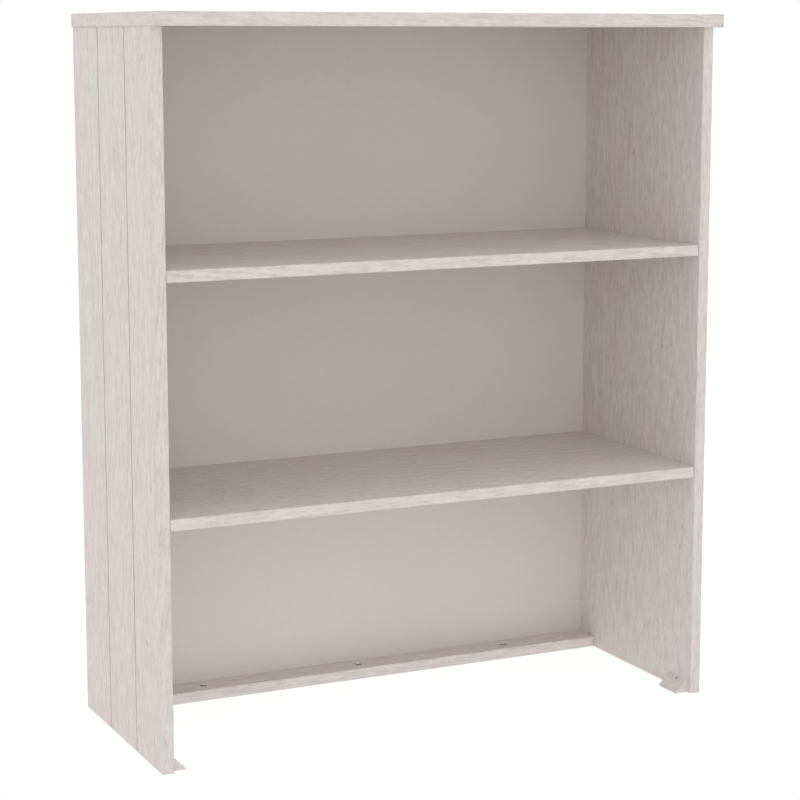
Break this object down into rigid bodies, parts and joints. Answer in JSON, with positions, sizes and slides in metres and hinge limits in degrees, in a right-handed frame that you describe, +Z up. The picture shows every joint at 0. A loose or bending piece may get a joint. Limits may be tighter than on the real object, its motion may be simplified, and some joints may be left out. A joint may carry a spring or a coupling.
{
  "type": "desk hutch",
  "caption": "Open shelf unit of whitewashed solid pine that stands on the back of a desk or low cabinet: grooved sides, overhanging top, fixed shelves, thin back and a flat rear rail.",
  "frame": {"origin": "middle of the hutch's footprint, on the surface that it stands on", "axes": "+X to the right as seen from the open front, +Y from the front to the back panel, +Z up"},
  "size_m": [0.85, 0.35, 1],
  "materials": {
    "whitewashed_pine": "white wash brushed over fine open grain, matt",
    "painted_board": "smooth even paint, matt",
    "zinc_plated_steel": "bright zinc plate",
    "cast_zinc": "dull die-cast zinc",
    "beech": "bare turned wood"
  },
  "bodies": {
    "root": {"top_panel": "whitewashed_pine", "left_side_panel": "whitewashed_pine", "right_side_panel": "whitewashed_pine", "upper_shelf": "whitewashed_pine", "lower_shelf": "whitewashed_pine", "rear_rail": "whitewashed_pine", "left_corner_block": "whitewashed_pine", "right_corner_block": "whitewashed_pine", "top_screw_plugs": "whitewashed_pine", "back_panel": "painted_board", "rail_screws": "zinc_plated_steel", "corner_block_screws": "zinc_plated_steel", "top_screws": "zinc_plated_steel", "back_panel_screws": "zinc_plated_steel", "upper_shelf_cam_bolts": "zinc_plated_steel", "lower_shelf_cam_bolts": "zinc_plated_steel", "rail_cam_bolts": "zinc_plated_steel", "upper_shelf_cams": "cast_zinc", "lower_shelf_cams": "cast_zinc", "rail_cams": "cast_zinc", "upper_shelf_dowels": "beech", "lower_shelf_dowels": "beech", "rail_dowels": "beech", "top_dowels": "beech"}
  },
  "joints": []
}
